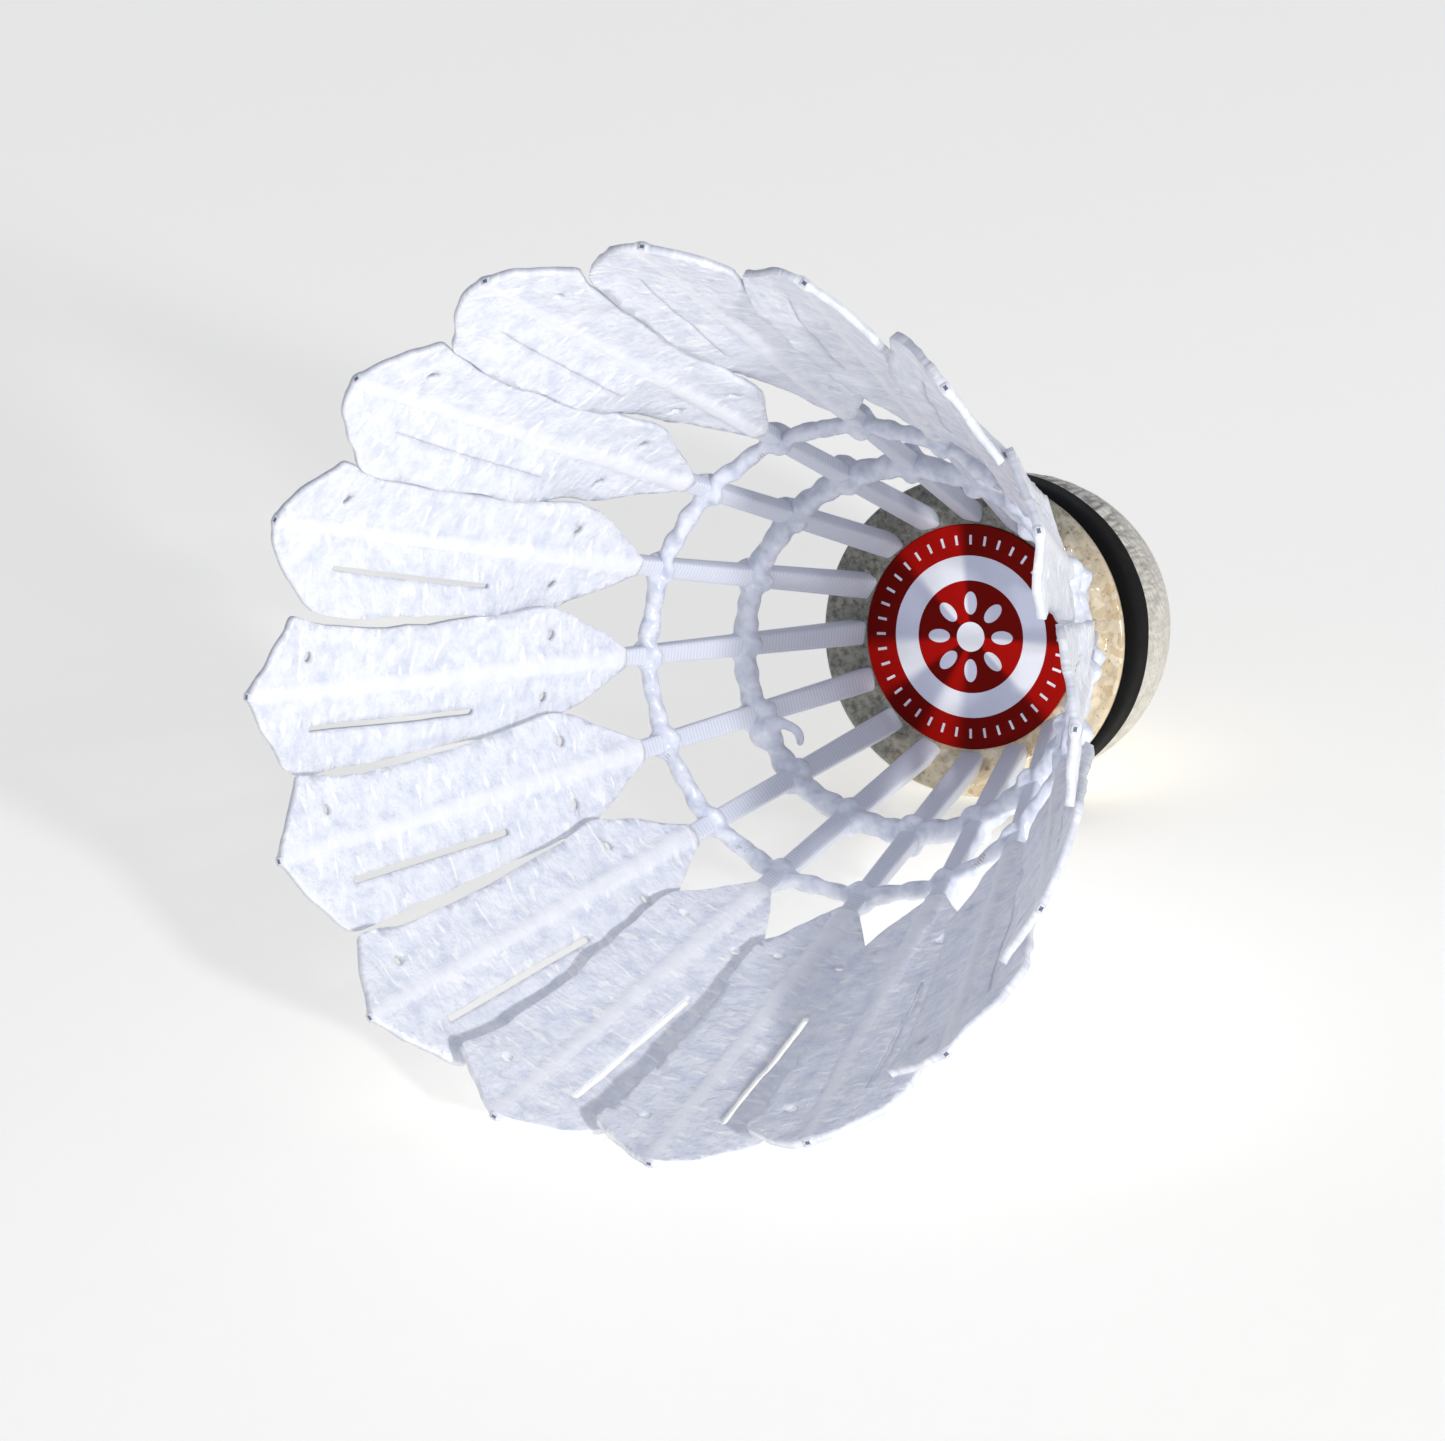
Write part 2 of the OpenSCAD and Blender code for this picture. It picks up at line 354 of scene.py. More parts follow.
def vane_outline(skirt, number):
    """Slightly uneven outline of one vane in metres, its tip at the origin and its foot below."""
    outer_round, inner_round = CURL.get(number, UNCURLED)[4:6]
    sides = []
    for edge, rounding, side in ((OUTER_EDGE, outer_round, 1), (INNER_EDGE, inner_round, -1)):
        far, wide = edge[0]
        tip = []
        for k in range(1, 8):
            s = k / 8
            bulge = rounding * math.sin(math.pi * s) * (1.15 - 0.3 * s)
            tip.append(Vector((side * wide * s, bulge - far * s)))
        rest = [Vector((side * w, -u)) for u, w in edge]
        rest.append(Vector((side * VANE_FOOT, -skirt.vane_len / MM)))
        sides.append(smooth_line([Vector((0, 0))] + tip + rest, 3)[1:])
    seed = number * 1.37
    shifted = []
    for p in [Vector((0, 0))] + sides[0] + sides[1][::-1]:
        rough = Vector([wander((p.x * 0.5, p.y * 0.5, layer), seed, EDGE_WAVER) for layer in (0, 9)])
        shifted.append((p + rough * min(1.0, p.length / 3)) * MM)
    return shifted


def rib_share(skirt, along, across):
    """How far up the rounded rib over the shaft a point of the foam lies, from 0 beside it to 1."""
    half = shaft_size(skirt, shaft_length(skirt) - along)[1] / 2 + 0.25 * MM
    return max(0.0, math.cos(math.pi / 2 * min(1.0, abs(across) / half) ** 1.7))


def opening_loops(number):
    """Outlines of a vane's air holes and of its round-ended slot, as (across, along) in millimetres."""
    loops = []
    for u, w in AIR_HOLES:
        loops.append([(w + AIR_HOLE_D / 2 * math.cos(a), -u + AIR_HOLE_D / 2 * math.sin(a))
                      for a in (math.tau * k / 14 for k in range(14))])
    across, start, end, width = SLOT
    half = width / 2 * SLOT_OPEN.get(number, 1)
    ends = []
    for centre, first in ((-start - half, 0), (-end + half, math.pi)):
        ends += [(across + half * math.cos(first + math.pi * k / 6),
                  centre + half * math.sin(first + math.pi * k / 6)) for k in range(7)]
    return loops + [ends]


def make_vane(skirt, number, material):
    """One foam vane: filled outline with its holes and slot, gridded, thickened and curled."""
    bm = bmesh.new()
    edges = loop_edges(bm, vane_outline(skirt, number))
    for points in opening_loops(number):
        edges += loop_edges(bm, [(x * MM, y * MM) for x, y in points])
    bmesh.ops.triangle_fill(bm, use_beauty=True, use_dissolve=False, edges=edges, normal=(1, 0, 0))
    for k in range(1, GRID_ROWS + 1):
        cut_plane(bm, (0, 0, -GRID_ROW * k * MM), (0, 0, 1))
    for across in [-c for c in GRID_COLUMNS[:0:-1]] + list(GRID_COLUMNS):
        cut_plane(bm, (0, across * MM, 0), (0, 1, 0))
    bm.normal_update()
    made = bmesh.ops.extrude_face_region(bm, geom=list(bm.faces))
    top = [g for g in made["geom"] if isinstance(g, bmesh.types.BMVert)]
    bmesh.ops.translate(bm, verts=bm.verts, vec=(-skirt.vane_t / 2, 0, 0))
    bmesh.ops.translate(bm, verts=top, vec=(skirt.vane_t, 0, 0))
    bmesh.ops.recalc_face_normals(bm, faces=bm.faces)
    uv_from(bm, lambda co: (co.y / MM, co.z / MM + number * 50.0))
    rims = [e for e in bm.edges if len(e.link_faces) == 2 and e.calc_face_angle() > 1.2
            and abs(e.verts[0].co.x - e.verts[1].co.x) < 0.01 * MM]
    # The shortest edge of the rim clamps this bevel to a hair, so a cut edge stays almost square
    bmesh.ops.bevel(bm, geom=rims, offset=0.22 * MM, segments=3, profile=0.5, affect="EDGES",
                    material=-1, clamp_overlap=True)
    bmesh.ops.dissolve_degenerate(bm, edges=bm.edges, dist=0.002 * MM)
    curl_foam(bm, skirt, number)
    place = feather_frame(skirt, number) @ Matrix.Translation((0, 0, shaft_length(skirt)))
    finish_piece(bm, f"foam_vane_{number:02d}", place, [material], [f"vane_{number:02d}"])


def curl_foam(bm, skirt, number):
    """Raises the rib, dents and ripples the foam and turns each half of the vane about its shaft."""
    rib = bm.verts.layers.float.new("rib")
    full = shaft_length(skirt)
    for v in bm.verts:
        along, across = -v.co.z, v.co.y
        side = 1 if v.co.x > 0 else -1
        share = rib_share(skirt, along, across)
        v[rib] = share
        thick = shaft_size(skirt, full - along)[0]
        top = max(0.0, thick / 2 + 0.12 * MM - skirt.vane_t / 2)
        seat = min(1.0, abs(across) / (2 * MM))
        spot = Vector((across * 1000, along * 1000, number * 11.0))
        dent = wander(spot * 0.95 + Vector((0, 0, side * 4)), 1, 0.07 * MM) * (1 - share)
        ripple = wander(spot * 0.16, 2, 0.35 * MM) + wander(spot * 0.45, 3, 0.14 * MM)
        bow = -0.2 * MM * (across / (6 * MM)) ** 2
        v.co.x += side * (top * share + dent) + bow + ripple * seat
        turn = curl_turn(skirt, number, along, across > 0) * ease(abs(across) / (0.9 * MM))
        x, y = v.co.x, v.co.y
        v.co.x = x * math.cos(turn) + y * math.sin(turn)
        v.co.y = y * math.cos(turn) - x * math.sin(turn) + sway(number, full - along, full)


def make_shaft(skirt, number, nylon, carbon):
    """One tapered flat shaft with rounded corners, its dark core showing at the cut tip."""
    full = shaft_length(skirt)
    stations = [-skirt.socket, 0.0] + [full * k / 24 for k in range(1, 24)] + [full + 0.04 * MM]
    corner = 0.42
    bm = bmesh.new()
    bmesh.ops.create_circle(bm, cap_ends=True, segments=24, radius=1.0)
    for v in bm.verts:
        angle = math.atan2(v.co.y, v.co.x)
        c, s = math.cos(angle), math.sin(angle)
        v.co.x = math.copysign(abs(c) ** corner, c)
        v.co.y = math.copysign(abs(s) ** corner, s)
    cap = next(iter(bm.faces))
    thick, wide = shaft_size(skirt, stations[0])
    bmesh.ops.scale(bm, verts=bm.verts, vec=(thick / 2, wide / 2, 1))
    bmesh.ops.translate(bm, verts=bm.verts, vec=(0, 0, stations[0]))
    for below, above in zip(stations, stations[1:]):
        made = bmesh.ops.extrude_face_region(bm, geom=[cap, *cap.edges])
        verts = [g for g in made["geom"] if isinstance(g, bmesh.types.BMVert)]
        cap = next(g for g in made["geom"] if isinstance(g, bmesh.types.BMFace))
        old, new = shaft_size(skirt, below), shaft_size(skirt, above)
        bmesh.ops.translate(bm, verts=verts, vec=(0, 0, above - below))
        bmesh.ops.scale(bm, verts=verts, vec=(new[0] / old[0], new[1] / old[1], 1),
                        space=Matrix.Translation((0, 0, -above)))
    bmesh.ops.inset_region(bm, faces=[cap], thickness=0.17 * MM)
    cap.material_index = 1
    bmesh.ops.recalc_face_normals(bm, faces=bm.faces)
    uv_from(bm, lambda co: (co.y / MM + number * 5.0, co.z / MM))
    for v in bm.verts:
        v.co.y += sway(number, v.co.z, full)
    finish_piece(bm, f"nylon_shaft_{number:02d}", feather_frame(skirt, number), [nylon, carbon],
                 [f"shaft_{number:02d}"])


# ---------------------------------------------------------------- thread rings


def ring_points(skirt, at):
    """Upright positions of the middle lines of the shafts at a ring."""
    return [feather_frame(skirt, n, upright=True) @ Vector((0, sway(n, at, shaft_length(skirt)), at))
            for n in range(1, skirt.count + 1)]


def strand_route(skirt, at, phase, spread):
    """Route of one of the two strands of a ring: round each shaft, and twisted in between."""
    middles = ring_points(skirt, at)
    thick = shaft_size(skirt, at)[0]
    steps = 24
    route = []
    for k, start in enumerate(middles):
        end = middles[(k + 1) % len(middles)]
        for s in range(steps):
            t = s / steps
            point = start.lerp(end, t)
            outward = Vector((point.x, point.y, 0)).normalized()
            near = math.exp(-((min(t, 1 - t) * (end - start).length) / (1.0 * MM)) ** 2)
            reach = spread + (thick / 2 + 0.1 * MM) * near
            angle = phase + math.tau * 1.5 * t + math.pi * k
            lift = spread * 1.15 * math.sin(angle + 0.5 * near) + wander((k, t * 2, phase), 3, 0.3 * MM)
            route.append(point + outward * reach * math.cos(angle) + Vector((0, 0, lift)))
    return route


def ring_strands(skirt, at, name, radius, spread):
    """Bmesh of a ring's two strands as round tubes; they pass on either side of every shaft."""
    data = bpy.data.curves.new(name, "CURVE")
    data.dimensions = "3D"
    data.bevel_depth = radius
    data.bevel_resolution = 3
    for phase in (0.0, math.pi):
        route = strand_route(skirt, at, phase, spread)
        spline = data.splines.new("POLY")
        spline.points.add(len(route) - 1)
        spline.use_cyclic_u = True
        for point, co in zip(spline.points, route):
            point.co = (*co, 1)
    mesh = evaluated_mesh(add_object(name, data))
    bpy.data.curves.remove(data)
    return bmesh_from(mesh)


def skin_of(bm, name):
    """The skin of a bmesh that passes through itself, remade in even quads."""
    fat = bpy.data.meshes.new(name)
    bm.to_mesh(fat)
    bm.free()
    holder = add_object(name, fat)
    remesh = holder.modifiers.new("skin", "REMESH")
    remesh.mode = "VOXEL"
    remesh.voxel_size = SKIN_QUAD
    skin = evaluated_mesh(holder)
    bpy.data.meshes.remove(fat)
    return bmesh_from(skin)


def add_drop(bm, place, radius):
    """A round drop of resin."""
    bmesh.ops.create_icosphere(bm, subdivisions=2, radius=radius, matrix=Matrix.Translation(place))


def make_thread(skirt, at, name, radius, spread, material):
    """The bare thread of one ring."""
    finish_piece(ring_strands(skirt, at, name, radius, spread), f"cotton_{name}", upright_to_table(skirt),
                 [material], [name])


def make_resin(skirt, at, name, radius, spread, material, drip=None):
    """The lumpy resin of one ring: the skin of the fattened thread with drops along it."""
    bm = ring_strands(skirt, at, name, radius, spread)
    middles = ring_points(skirt, at)
    lumps = 12
    for k, start in enumerate(middles):
        end = middles[(k + 1) % len(middles)]
        for s in range(lumps):
            share = s / lumps + wander((k * 1.7, s * 2.3, at * 1000), 4, 0.05)
            lump = radius * (1.38 + wander((k * 3.1, s * 0.9, at * 900), 2, 0.34))
            add_drop(bm, start.lerp(end, share), lump)
        for side in (-1, 1):
            inward = Vector((start.x, start.y, 0)).normalized() * side * 0.55 * MM
            add_drop(bm, start + inward, radius * 1.15)
    if drip:
        drip(bm, middles)
    bm = skin_of(bm, name)
    for _ in range(9):
        bmesh.ops.smooth_vert(bm, verts=bm.verts, factor=0.5, use_axis_x=True, use_axis_y=True,
                              use_axis_z=True)
    bm.normal_update()
    for v in bm.verts:
        v.co += v.normal * (wander(v.co * 500, 1, 0.26 * MM) + wander(v.co * 1500, 2, 0.05 * MM))
    finish_piece(bm, f"hardened_{name}", upright_to_table(skirt), [material], [name])


def hooked_drip(bm, middles):
    """A drop that ran down inside the ring between the second and third shaft and set as a hook."""
    start = middles[1].lerp(middles[2], 0.30)
    inward = -Vector((start.x, start.y, 0)).normalized()
    along = (middles[2] - middles[1]).normalized()
    add_drop(bm, start - inward * 0.2 * MM, 1.25 * MM)
    for k in range(9):
        share = k / 8
        bend = inward * (0.9 + 1.5 * math.sin(2.2 * share)) * MM + along * (-0.6 + 2.6 * share) * MM
        add_drop(bm, start + bend, (0.6 - 0.26 * share) * MM)


# ---------------------------------------------------------------- base and label


def lathe(profile, steps):
    """A bmesh turned about z from (radius, height) points, its poles closed."""
    bm = bmesh.new()
    verts = [bm.verts.new((r, 0, z)) for r, z in profile]
    edges = [bm.edges.new(pair) for pair in zip(verts, verts[1:])]
    bmesh.ops.spin(bm, geom=verts + edges, cent=(0, 0, 0), axis=(0, 0, 1), angle=math.tau, steps=steps,
                   use_merge=True, use_duplicate=False)
    bmesh.ops.remove_doubles(bm, verts=bm.verts, dist=1e-6)
    bmesh.ops.recalc_face_normals(bm, faces=bm.faces)
    return bm


def base_profile(base, inset, steps):
    """Half outline of the base from its top edge down to the nose, set in from the outside."""
    r, h = base.radius - inset, base.dome - inset
    side = [(r, -base.side * k / 12) for k in range(13)]
    dome = [(r * math.cos(math.pi / 2 * k / steps), -base.side - h * math.sin(math.pi / 2 * k / steps))
            for k in range(1, steps + 1)]
    return side + dome


def make_cover(skirt, base, material):
    """The leather cover: a thin shell round the base, wrinkled where the band grips it."""
    outer = base_profile(base, 0, 40)
    inner = base_profile(base, base.leather_t, 40)
    bm = lathe(outer + inner[::-1] + [outer[0]], 480)
    crease = bm.verts.layers.float.new("crease")
    gathered = math.radians(250)
    for v in bm.verts:
        depth = -v.co.z - base.band_w
        if depth < -0.3 * MM:
            continue
        angle = math.atan2(v.co.y, v.co.x)
        ring = Vector((math.cos(angle), math.sin(angle), 0))
        spread = math.exp(-(max(0.0, depth - 1.5 * MM) / (4 * MM)) ** 2)
        spread *= 0.2 + 0.8 * max(0.0, math.cos(angle - gathered)) ** 2
        slant = Vector((0, 0, v.co.z * 260 + angle * 2))
        fold = wander(ring * 24 + slant, 3, 1) + wander(ring * 11 + slant, 9, 0.5)
        # The crease share sinks the folds and marks them for the painted shade in the leather's creases
        v[crease] = max(0.0, 1 - 3.2 * abs(fold)) * spread
        v.co += ring * (wander(ring * 13 + slant, 5, 0.2 * MM) * spread - 0.16 * MM * v[crease] - 0.05 * MM)
    finish_piece(bm, "leather_base_cover", upright_to_table(skirt), [material], ["leather_cover"])


def make_band(skirt, base, material):
    """The black tape round the base, with softened edges and a slightly uneven lower edge."""
    r, t, soft, top = base.radius, base.band_t, 0.08 * MM, -0.35 * MM
    bm = lathe([(r, top - soft), (r + t - soft, top), (r + t, top - soft), (r + t, -base.band_w / 2),
                (r + t, soft - base.band_w), (r + t - soft, -base.band_w), (r, soft - base.band_w),
                (r, top - soft)], 192)
    for v in bm.verts:
        angle = math.atan2(v.co.y, v.co.x)
        if v.co.z < -base.band_w / 2:
            v.co.z += wander((math.cos(angle) * 3, math.sin(angle) * 3, 0), 5, 0.25 * MM)
    finish_piece(bm, "tape_band", upright_to_table(skirt), [material], ["band"])


def make_glue(skirt, base, material):
    """The glue over the cork: uneven, drawn up behind every shaft, and run over the cork's rim."""
    edge = base.radius + 0.24 * MM
    rings = 64
    top = [(edge * k / rings, base.glue_t) for k in range(rings)]
    lip = [(edge - 0.02 * MM, base.glue_t * 0.4), (edge, -0.1 * MM), (edge - 0.02 * MM, -0.34 * MM),
           (edge - 0.2 * MM, -0.34 * MM), (base.radius - base.leather_t, 0), (0, 0)]
    bm = lathe(top + lip, 320)
    roots = [feather_frame(skirt, n, upright=True) @ Vector((0, 0, 0.3 * MM))
             for n in range(1, skirt.count + 1)]
    for v in bm.verts:
        spot = Vector((v.co.x, v.co.y))
        if v.co.z < base.glue_t * 0.9 or spot.length < base.label_r + 0.1 * MM:
            continue
        near = min((spot - root.to_2d()).length for root in roots)
        fillet = 0.8 * MM * math.exp(-(max(0.0, near - 0.9 * MM) / (0.55 * MM)) ** 2)
        fillet *= ease((spot.length - skirt.root_r) / (0.9 * MM)) * (0.8 + wander(v.co * 400, 8, 0.5))
        rough = wander(v.co * 1500, 6, 0.2 * MM) + wander(v.co * 500, 7, 0.16 * MM)
        rough *= ease((spot.length - base.label_r) / (0.8 * MM))
        v.co.z += (fillet + rough) * ease((edge - spot.length) / (0.8 * MM))
    finish_piece(bm, "sealed_cork_face", upright_to_table(skirt), [material], ["glue_film"])


def make_label(skirt, base, red, silver):
    """The round foil label: red, with a silver ring, a rim of plain dashes and a plain ring of dots."""
    r, t, floor = base.label_r, base.label_t, base.glue_t
    profile = [(0, floor), (r, floor), (r, floor + t * 0.8), (r * 0.992, floor + t)]
    profile += [(r * share, floor + t) for share in (0.86, 0.72, 0.61, 0.5, 0.3, 0.15)] + [(0, floor + t)]
    bm = lathe(profile, 192)
    for face in bm.faces:
        middle = face.calc_center_median()
        share = math.hypot(middle.x, middle.y) / r
        if middle.z > floor + t * 0.95 and 0.5 < share < 0.72:
            face.material_index = 1
    lift = floor + t + 0.004 * MM
    # How many prints, how far out they lie, and their half length outwards and half width, against
    # the label's radius, and their corners
    for count, out, long, wide, corners in ((40, 0.86, 0.05, 0.014, 4), (8, 0.3, 0.085, 0.05, 24)):
        for k in range(count):
            turned = Matrix.Rotation(math.tau * k / count, 4, "Z") @ Matrix.Translation((r * out, 0, lift))
            add_print(bm, turned @ Matrix.Diagonal((r * long, r * wide, 1, 1)), corners)
    dot = add_print(bm, Matrix.Translation((0, 0, lift)) @ Matrix.Diagonal((r * 0.11, r * 0.11, 1, 1)), 32)
    layer = bm.loops.layers.uv.new("UVMap")
    for face in bm.faces:
        first = math.atan2(face.calc_center_median().y, face.calc_center_median().x)
        for loop in face.loops:
            co = loop.vert.co
            angle = math.atan2(co.y, co.x)
            angle += math.tau * round((first - angle) / math.tau)
            loop[layer].uv = (angle / math.tau, math.hypot(co.x, co.y) / r)
            # The middle dot takes the brightest painted reflection
            if face in dot:
                loop[layer].uv = (BRIGHTEST_PAINTED_FAN, 0.1)
    finish_piece(bm, "foil_label", upright_to_table(skirt), [red, silver], ["label"], smooth=False)


def add_print(bm, place, corners):
    """Prints a low silver pad, a dash with four corners or a round dot, and returns its faces."""
    turned = place @ Matrix.Rotation(math.pi / corners, 4, "Z") @ Matrix.Diagonal((1.2, 1.2, 0.02 * MM, 1))
    made = bmesh.ops.create_cone(bm, cap_ends=True, segments=corners, radius1=1.0, radius2=1.0, depth=1.0,
                                 matrix=turned)
    faces = {f for v in made["verts"] for f in v.link_faces}
    for face in faces:
        face.material_index = 1
    return faces


# ---------------------------------------------------------------- materials


def add(tree, kind, to=None, stops=(), **values):
    """Adds a node: a value goes to the setting or input of that name, and `stops` to a colour ramp.

    A socket is linked instead, a node by its first output, and the new node's first output to `to`.
    """
    node = tree.nodes.new(kind)
    for key, value in values.items():
        if hasattr(node, key):
            setattr(node, key, value)
            continue
        socket = node.inputs[int(key[2:])] if key.startswith("in") else node.inputs[key.replace("_", " ")]
        if isinstance(value, bpy.types.Node):
            value = value.outputs[0]
        if isinstance(value, bpy.types.NodeSocket):
            tree.links.new(value, socket)
        else:
            socket.default_value = value
    for k, (position, tint) in enumerate(stops):
        node.color_ramp.elements[k].position = position
        node.color_ramp.elements[k].color = tint
    if to:
        tree.links.new(node.outputs[0], to)
    return node


def new_material(name, **values):
    """A material, its tree and the inputs of its one shader, with the uniform values set on them."""
    material = bpy.data.materials.new(name)
    material.use_nodes = True
    tree = material.node_tree
    tree.nodes.clear()
    shader = add(tree, "ShaderNodeBsdfPrincipled", **values)
    add(tree, "ShaderNodeOutputMaterial", Surface=shader.outputs["BSDF"])
    return material, tree, shader.inputs


def foam_material(finish):
    """Expanded polyolefin sheet, embossed between rollers: soft white, pebbled, with pressed dashes and
    painted highlights.
    """
    material, tree, shader = new_material("embossed_foam_sheet", Roughness=0.45, IOR=1.49,
                                          Subsurface_Weight=0.3, Subsurface_Scale=0.001,
                                          Subsurface_Radius=(1.0, 1.0, 1.1), Coat_Weight=0.25,
                                          Coat_Roughness=0.16)
    uv = add(tree, "ShaderNodeTexCoord").outputs["UV"]
    rib = add(tree, "ShaderNodeAttribute", attribute_name="rib").outputs["Fac"]
    # Pebbles about 0.7 mm across, and sparse pressed dashes 1.6 mm across the vane and 0.7 mm along it
    pebble = add(tree, "ShaderNodeTexNoise", Vector=uv, Scale=1.5, Detail=3.0, Roughness=0.55)
    stretched = add(tree, "ShaderNodeMapping", Vector=uv, Scale=(0.62, 1.35, 1.0))
    streak = add(tree, "ShaderNodeTexNoise", Vector=stretched, Scale=1.0, Detail=0.0, Roughness=0.5)
    glint = add(tree, "ShaderNodeMapRange", Value=streak, From_Min=0.64, From_Max=0.74)
    height = add(tree, "ShaderNodeMath", operation="MULTIPLY_ADD", in0=glint, in1=0.14, in2=pebble)
    plain = add(tree, "ShaderNodeMath", operation="MULTIPLY_ADD", in0=rib, in1=-0.7, in2=1.0)
    depth = add(tree, "ShaderNodeMath", operation="MULTIPLY", in0=height, in1=plain)
    add(tree, "ShaderNodeBump", shader["Normal"], Height=depth, Strength=0.75, Distance=0.0003)
    mottle = add(tree, "ShaderNodeTexNoise", Vector=uv, Scale=0.55, Detail=5.0, Roughness=0.66)
    tone = add(tree, "ShaderNodeValToRGB", Fac=mottle,
               stops=((0.34, linear("#DADEEA")), (0.58, finish.foam)))
    # Painted highlights: the pressed dashes and the line over the shaft are painted paler, as the glints
    # the light puts on them
    rib_highlight = add(tree, "ShaderNodeMath", operation="MULTIPLY", in0=rib, in1=0.55)
    painted_highlight = add(tree, "ShaderNodeMath", operation="MAXIMUM", in0=glint, in1=rib_highlight)
    add(tree, "ShaderNodeMixRGB", shader["Base Color"], Fac=painted_highlight, Color1=tone, Color2=linear("#FCFCFE"))
    return material


def nylon_material(finish):
    """Moulded white nylon over a fibre core: semi-gloss, with fine ribs across the shaft."""
    material, tree, shader = new_material("moulded_nylon", Roughness=0.4, IOR=1.53)
    uv = add(tree, "ShaderNodeTexCoord").outputs["UV"]
    # Ribs 0.35 mm apart across the shaft
    ribs = add(tree, "ShaderNodeTexWave", wave_type="BANDS", bands_direction="Y", Vector=uv, Scale=0.9,
               Distortion=0.6, Detail=1.0)
    grain = add(tree, "ShaderNodeTexNoise", Vector=uv, Scale=4.0, Detail=3.0)
    height = add(tree, "ShaderNodeMath", operation="MULTIPLY_ADD", in0=grain, in1=0.8,
                 in2=ribs.outputs["Fac"])
    add(tree, "ShaderNodeBump", shader["Normal"], Height=height, Strength=0.12, Distance=0.0001)
    add(tree, "ShaderNodeValToRGB", shader["Base Color"], Fac=ribs.outputs["Fac"],
        stops=((0.1, linear("#DADEE9")), (0.6, finish.nylon)))
    return material


def carbon_material(finish):
    """Cut end of a carbon-fibre core under a thin skin of foam: a dull grey dot with paler fibre ends."""
    material, tree, shader = new_material("carbon_fibre_core", Roughness=0.5)
    place = add(tree, "ShaderNodeTexCoord").outputs["Object"]
    spots = add(tree, "ShaderNodeTexNoise", Vector=place, Scale=9000.0)
    add(tree, "ShaderNodeValToRGB", shader["Base Color"], Fac=spots,
        stops=((0.0, finish.carbon), (1.0, linear("#868C9E"))))
    return material


def resin_material(finish):
    """Hardened solvent glue: glossy milky white, with fine ripples where it shrank."""
    material, tree, shader = new_material("hardened_glue_coat", Roughness=0.3, IOR=1.5, Coat_Weight=0.5,
                                          Coat_Roughness=0.08)
    place = add(tree, "ShaderNodeTexCoord").outputs["Object"]
    # Ripples about 0.9 mm across
    lumps = add(tree, "ShaderNodeTexNoise", Vector=place, Scale=1100.0, Detail=3.0, Roughness=0.5)
    add(tree, "ShaderNodeBump", shader["Normal"], Height=lumps, Strength=0.35, Distance=0.0003)
    add(tree, "ShaderNodeValToRGB", shader["Base Color"], Fac=lumps,
        stops=((0.3, linear("#CDD2E2")), (0.6, finish.resin)))
    return material


def thread_material(finish):
    """Two-ply cotton: matt, with a fine slanting twist of fibres."""
    material, tree, shader = new_material("cotton_thread", Roughness=0.85, Sheen_Weight=0.3)
    place = add(tree, "ShaderNodeTexCoord").outputs["Object"]
    twist = add(tree, "ShaderNodeTexWave", wave_type="BANDS", bands_direction="DIAGONAL", Vector=place,
                Scale=1500.0, Distortion=2.0)
    add(tree, "ShaderNodeBump", shader["Normal"], Height=twist.outputs["Fac"], Strength=0.6,
        Distance=0.0001)
    add(tree, "ShaderNodeValToRGB", shader["Base Color"], Fac=twist.outputs["Fac"],
        stops=((0.0, linear("#C6C8D0")), (1.0, finish.thread)))
    return material


